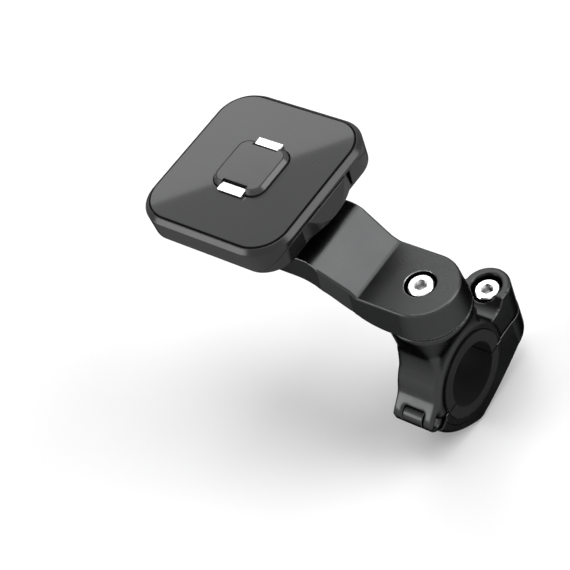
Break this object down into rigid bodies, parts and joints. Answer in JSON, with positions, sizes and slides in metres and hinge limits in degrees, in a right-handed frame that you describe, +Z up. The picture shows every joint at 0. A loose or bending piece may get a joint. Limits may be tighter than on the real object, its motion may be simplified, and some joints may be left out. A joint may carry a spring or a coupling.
{
  "type": "handlebar device mount",
  "caption": "Hinged handlebar clamp with a cranked swivelling arm and a square quick-release head whose two side buttons draw in sprung steel jaws on a raised locking nub.",
  "frame": {"origin": "on the handlebar's axis at the middle of the clamp", "axes": "+X along the handlebar, +Y forward away from the rider, +Z up along the bolts, square to the head's face"},
  "size_m": [0.0996, 0.0641, 0.0967],
  "materials": {
    "face": "soft-touch satin black face",
    "housing": "satin black moulded plastic",
    "nub": "satin black moulded plastic",
    "button": "satin black moulded plastic",
    "alloy": "black anodised aluminium, fine satin",
    "steel": "bright stainless steel",
    "brass": "plain machined brass",
    "rubber": "matt black rubber",
    "nylon": "dark grey nylon"
  },
  "bodies": {
    "clamp": {"clamp_upper": "alloy", "liner_upper": "rubber", "hinge_pin": "steel", "clamp_bolt": "steel", "arm_insert": "brass", "arm_bolt": "steel", "arm_bolt_washer": "steel", "swivel_washer": "nylon"},
    "lower_half": {"clamp_lower": "alloy", "liner_lower": "rubber", "clamp_insert": "brass"},
    "arm_and_head": {"arm": "alloy", "upper_housing": "housing", "lower_housing": "housing", "face_pad": "face", "lock_nub": "nub", "nub_screws": "steel", "housing_screws": "steel", "hub_screws": "steel", "spring_left": "steel", "spring_right": "steel"},
    "right_button": {"button_right": "button"},
    "left_button": {"button_left": "button"},
    "front_jaw": {"jaw_front": "steel"},
    "rear_jaw": {"jaw_rear": "steel"}
  },
  "joints": [
    {"name": "arm_swivel", "type": "hinge", "parent": "clamp", "child": "arm_and_head", "pos_m": [0, 0, 0.031], "axis": [0, 0, 1], "continuous": true},
    {"name": "clamp_hinge", "type": "hinge", "parent": "clamp", "child": "lower_half", "pos_m": [0, -0.0198, -0.0022], "axis": [-1, 0, 0], "range_deg": [0, 100]},
    {"name": "right_press", "type": "slide", "parent": "arm_and_head", "child": "right_button", "axis": [-1, 0, 0], "range_m": [0, 0.002], "stiffness_N_per_m": 1200, "springref_m": -0.002, "deforming": ["spring_right"]},
    {"name": "left_press", "type": "slide", "parent": "arm_and_head", "child": "left_button", "axis": [1, 0, 0], "range_m": [0, 0.002], "stiffness_N_per_m": 1200, "springref_m": -0.002, "deforming": ["spring_left"]},
    {"name": "front_jaw_slide", "type": "slide", "parent": "arm_and_head", "child": "front_jaw", "axis": [0, -1, 0], "range_m": [0, 0.0008]},
    {"name": "rear_jaw_slide", "type": "slide", "parent": "arm_and_head", "child": "rear_jaw", "axis": [0, 1, 0], "range_m": [0, 0.0008]}
  ],
  "couplings": [
    {"joint": "left_press", "follows": "right_press", "ratio": 1},
    {"joint": "front_jaw_slide", "follows": "right_press", "ratio": 0.4},
    {"joint": "rear_jaw_slide", "follows": "right_press", "ratio": 0.4}
  ]
}
